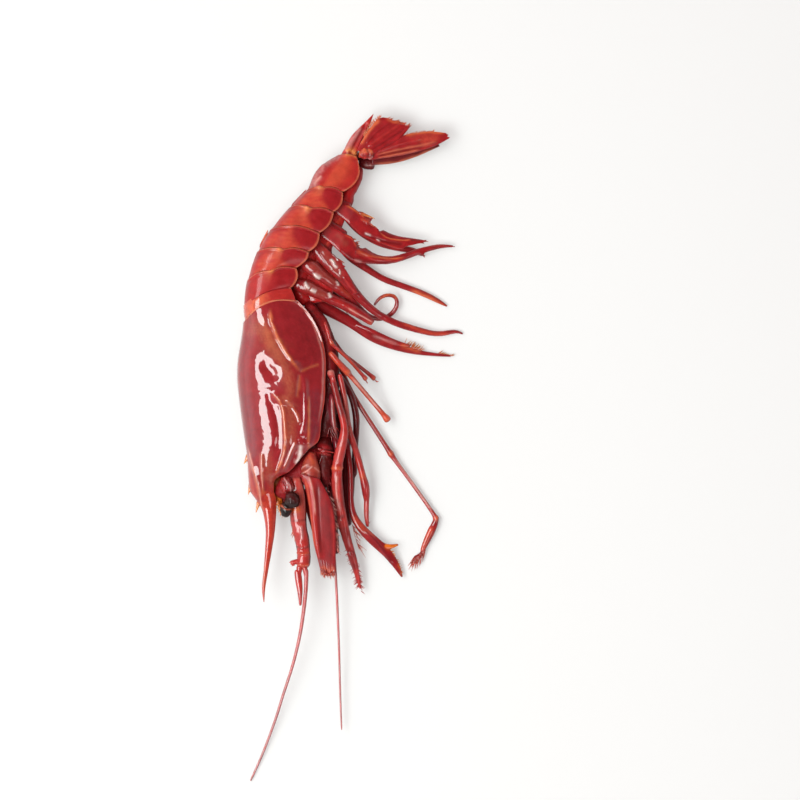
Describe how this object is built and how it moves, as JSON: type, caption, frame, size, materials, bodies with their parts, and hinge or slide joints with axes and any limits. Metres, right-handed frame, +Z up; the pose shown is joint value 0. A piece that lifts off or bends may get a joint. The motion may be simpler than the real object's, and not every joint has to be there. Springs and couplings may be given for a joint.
{
  "type": "raw red prawn",
  "caption": "Whole raw red prawn lying on its side: head shield with a long toothed rostrum, legs, feelers, ringed tail with long swimming legs and a tail fan. Food, to serve or cook.",
  "frame": {"origin": "below the middle of the bounding box, on the surface that the prawn lies on", "axes": "+Y from the head to the tail, +X from the back to the belly, +Z up, towards the prawn's left side"},
  "size_m": [0.113, 0.3343, 0.0314],
  "materials": {
    "head_shield": "wet, slightly see-through deep red shell",
    "tail_shell": "wet red shell, orange at the joints",
    "limb": "wet red limb shell",
    "feeler": "thin pinkish red feeler",
    "soft_skin": "soft orange joint skin",
    "dark_flesh": "dark red flesh and gills in shade",
    "eye": "glossy black eye"
  },
  "bodies": {
    "root": {"antenna_base_left": "limb", "antenna_base_right": "limb", "antenna_flagellum": "feeler", "antenna_scale_left": "limb", "antenna_scale_right": "limb", "antennule_flagellum_long": "feeler", "antennule_flagellum_short": "feeler", "antennule_left": "limb", "antennule_right": "limb", "carapace": "head_shield", "eye_left": "eye", "eye_right": "eye", "eyestalk_left": "limb", "eyestalk_right": "limb", "head": "dark_flesh", "leg_1_left": "limb", "leg_1_right": "limb", "leg_2_left": "limb", "leg_2_right": "limb", "leg_3_left": "limb", "leg_3_right": "limb", "leg_4_left": "limb", "leg_4_right": "limb", "leg_5_left": "limb", "leg_5_right": "limb", "maxilliped_left": "limb", "maxilliped_right": "limb", "mouthparts": "dark_flesh", "somite_1": "tail_shell", "somite_2": "tail_shell", "somite_3": "tail_shell", "somite_4": "tail_shell", "somite_5": "tail_shell", "somite_6": "tail_shell", "swimmeret_1_left": "limb", "swimmeret_1_right": "limb", "swimmeret_2_left": "limb", "swimmeret_2_right": "limb", "swimmeret_3_left": "limb", "swimmeret_3_right": "limb", "swimmeret_4_left": "limb", "swimmeret_4_right": "limb", "swimmeret_5_left": "limb", "swimmeret_5_right": "limb", "tail_belly": "soft_skin", "telson": "tail_shell", "thorax": "dark_flesh", "uropod_base_left": "tail_shell", "uropod_base_right": "tail_shell", "uropod_inner_left": "tail_shell", "uropod_inner_right": "tail_shell", "uropod_outer_left": "tail_shell", "uropod_outer_right": "tail_shell", "waist_membrane": "soft_skin"}
  },
  "joints": []
}
